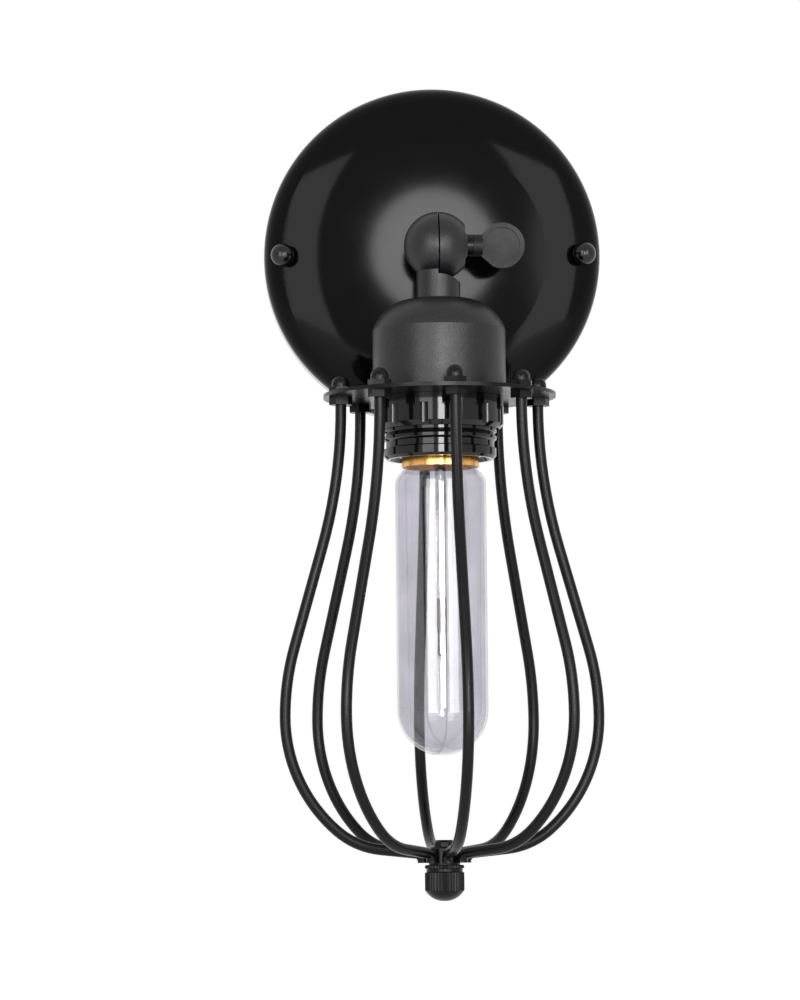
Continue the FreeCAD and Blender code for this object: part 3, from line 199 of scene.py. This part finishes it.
FLOOR_LEVEL = -0.3
FLOOR_HALF = 4.0
FLOOR_GRAIN = 40.0
FLOOR_GLOW = 0.7
FILL = 0.25  # the surround's light on matt surfaces; it is 1 where it is seen


def flat_square(name, half, level):
    """A square in the plane z = level."""
    mesh = bpy.data.meshes.new(name)
    turns = ((-1, -1), (1, -1), (1, 1), (-1, 1))
    corners = [(x * half, y * half, level) for x, y in turns]
    mesh.from_pydata(corners, [], [(0, 1, 2, 3)])
    square = bpy.data.objects.new(name, mesh)
    bpy.context.scene.collection.objects.link(square)
    return square


def seen_factor(tree):
    """1 for camera, glossy and transmission rays, 0 for the rest."""
    rays = tree.nodes.new("ShaderNodeLightPath")
    total = rays.outputs["Is Camera Ray"]
    for kind in ("Is Glossy Ray", "Is Transmission Ray"):
        add = tree.nodes.new("ShaderNodeMath")
        add.operation = "ADD"
        add.use_clamp = True
        tree.links.new(total, add.inputs[0])
        tree.links.new(rays.outputs[kind], add.inputs[1])
        total = add.outputs["Value"]
    return total


def floor_material():
    """Pale matt floor: its own glow makes it white to the eye, its lit part keeps the shadow."""
    material, tree, place, output = new_material("pale_floor")
    grain = noise(tree, place, FLOOR_GRAIN)
    matt = tree.nodes.new("ShaderNodeBsdfPrincipled")
    pale = blend(tree, spread(tree, grain, 0.0, 1.0), (0.84, 0.84, 0.84), (0.88, 0.88, 0.88))
    tree.links.new(pale, matt.inputs["Base Color"])
    tree.links.new(spread(tree, grain, 0.75, 0.9), matt.inputs["Roughness"])
    glow = tree.nodes.new("ShaderNodeEmission")
    scale = tree.nodes.new("ShaderNodeMath")
    scale.operation = "MULTIPLY"
    scale.inputs[1].default_value = FLOOR_GLOW
    tree.links.new(seen_factor(tree), scale.inputs[0])
    tree.links.new(scale.outputs["Value"], glow.inputs["Strength"])
    both = tree.nodes.new("ShaderNodeAddShader")
    tree.links.new(matt.outputs["BSDF"], both.inputs[0])
    tree.links.new(glow.outputs["Emission"], both.inputs[1])
    tree.links.new(both.outputs["Shader"], output.inputs["Surface"])
    return material


floor = flat_square("floor", FLOOR_HALF, FLOOR_LEVEL)
floor.data.materials.append(floor_material())

world = bpy.data.worlds.new("studio")
world.use_nodes = True
bpy.context.scene.world = world
sky = world.node_tree
sky.nodes.clear()
surround = sky.nodes.new("ShaderNodeBackground")
surround.inputs["Color"].default_value = (1.0, 1.0, 1.0, 1.0)
brightness = sky.nodes.new("ShaderNodeMapRange")
brightness.inputs["To Min"].default_value = FILL
brightness.inputs["To Max"].default_value = 1.0
sky.links.new(seen_factor(sky), brightness.inputs["Value"])
sky.links.new(brightness.outputs["Result"], surround.inputs["Strength"])
sky_output = sky.nodes.new("ShaderNodeOutputWorld")
sky.links.new(surround.outputs["Background"], sky_output.inputs["Surface"])


def area_light(name, place, target, size, radiance):
    """Area light aimed at a point; size is a disc's diameter, or a box's width and height."""
    light = bpy.data.lights.new(name, "AREA")
    if len(size) == 1:
        light.shape = "DISK"
        light.size = size[0]
        area = math.pi * size[0] ** 2 / 4
    else:
        light.shape = "RECTANGLE"
        light.size, light.size_y = size
        area = size[0] * size[1]
    light.energy = radiance * math.pi * area
    lamp = bpy.data.objects.new(name, light)
    lamp.location = place
    lamp.rotation_euler = (Vector(target) - Vector(place)).to_track_quat("-Z", "Y").to_euler()
    bpy.context.scene.collection.objects.link(lamp)


# the round light shows as the soft disc in the middle of the plate
ROUND_PLACE = (0.062, -1.466, 0.128)
PLATE_CROWN = (0.0, -0.03, 0.0)
ROUND_ACROSS = 0.41
area_light("round_front", ROUND_PLACE, PLATE_CROWN, (ROUND_ACROSS,), 24.0)

# a tall softbox on each side gives the bulb its two bright strips
SIDE_TURN = math.radians(26.0)
SIDE_REACH = 1.5
SIDE_HEIGHT = -0.05
SIDE_SIZE = (0.6, 1.5)
LAMP_MIDDLE = (0.0, -0.06, -0.1)
for side, name in ((-1, "softbox_left"), (1, "softbox_right")):
    across = side * SIDE_REACH * math.sin(SIDE_TURN)
    spot = (across, -SIDE_REACH * math.cos(SIDE_TURN), SIDE_HEIGHT)
    area_light(name, spot, LAMP_MIDDLE, SIDE_SIZE, 4.5)

# ---------------------------------------------------------------- camera

EYE = Vector((-61.84, -1465.94, -114.99)) * MM
YAW, PITCH, ROLL = -0.0343, 0.0195, -0.0075
SENSOR, LENS = 36.0, 146.41  # millimetres
right = Vector((math.cos(YAW), math.sin(YAW), 0.0))
ahead = Vector((-math.sin(YAW), math.cos(YAW), 0.0))
forward = math.cos(PITCH) * ahead + math.sin(PITCH) * UPWARDS
up = -math.sin(PITCH) * ahead + math.cos(PITCH) * UPWARDS
turned_right = math.cos(ROLL) * right + math.sin(ROLL) * up
turned_up = -math.sin(ROLL) * right + math.cos(ROLL) * up

camera_data = bpy.data.cameras.new("camera")
camera_data.sensor_width = SENSOR
camera_data.lens = LENS
camera_data.clip_start = 0.05
camera = bpy.data.objects.new("camera", camera_data)
axes = Matrix((turned_right, turned_up, -forward)).transposed()
camera.matrix_world = Matrix.Translation(EYE) @ axes.to_4x4()
bpy.context.scene.collection.objects.link(camera)
bpy.context.scene.camera = camera
bpy.context.scene.view_settings.view_transform = "Standard"
